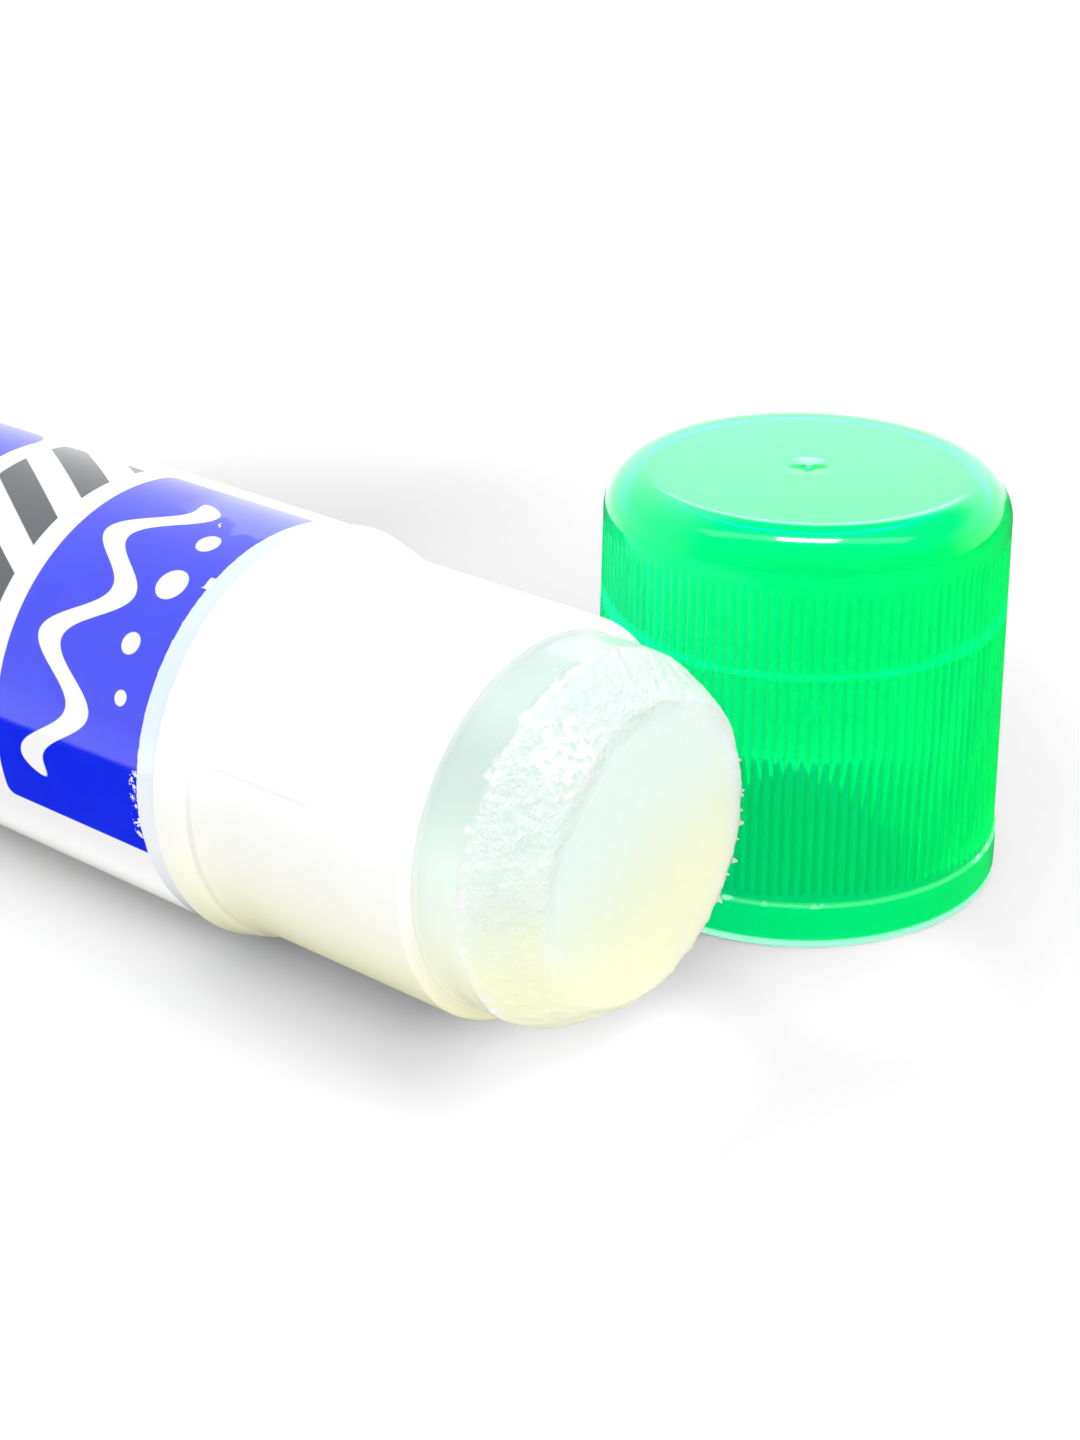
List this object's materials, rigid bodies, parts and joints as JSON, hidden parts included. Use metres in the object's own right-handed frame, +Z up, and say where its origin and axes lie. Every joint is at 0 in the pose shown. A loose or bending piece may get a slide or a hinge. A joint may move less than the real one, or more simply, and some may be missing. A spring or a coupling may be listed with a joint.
{
  "type": "glue stick",
  "caption": "Twist-up glue stick on its side: tube with necked mouth, label and worn glue, threaded spindle and carrier inside, twist knob, translucent ribbed cap standing beside it.",
  "frame": {"origin": "on the table, under the middle of the whole part's box", "axes": "+X along the stick from the knob to the glue, +Y from the stick to the cap, +Z up from the table"},
  "size_m": [0.119, 0.0616, 0.0312],
  "materials": {
    "barrel_plastic": "satin white polypropylene, slightly translucent",
    "label_film": "glossy printed film",
    "green_plastic": "glossy translucent, fine moulded ribs",
    "mechanism_plastic": "natural moulded plastic",
    "glue_paste": "translucent, smooth and partly wet"
  },
  "bodies": {
    "barrel": {"barrel": "barrel_plastic", "label": "label_film"},
    "knob": {"twist_knob": "green_plastic", "spindle": "mechanism_plastic"},
    "carriage": {"carrier": "mechanism_plastic", "glue": "glue_paste"},
    "cap": {"cap": "green_plastic"}
  },
  "joints": [
    {"name": "knob_turn", "type": "hinge", "parent": "barrel", "child": "knob", "pos_m": [-0.053, -0.01563, 0.0152], "axis": [1, 0, 0], "range_deg": [-540, 3600]},
    {"name": "glue_slide", "type": "slide", "parent": "barrel", "child": "carriage", "axis": [1, 0, 0], "range_m": [-0.009, 0.06]},
    {"name": "cap_lift", "type": "slide", "parent": "barrel", "child": "cap", "axis": [0, 0, 1], "range_m": [0, 0.06]}
  ],
  "couplings": [
    {"joint": "knob_turn", "follows": "glue_slide", "rad_per_m": 1047.2}
  ]
}
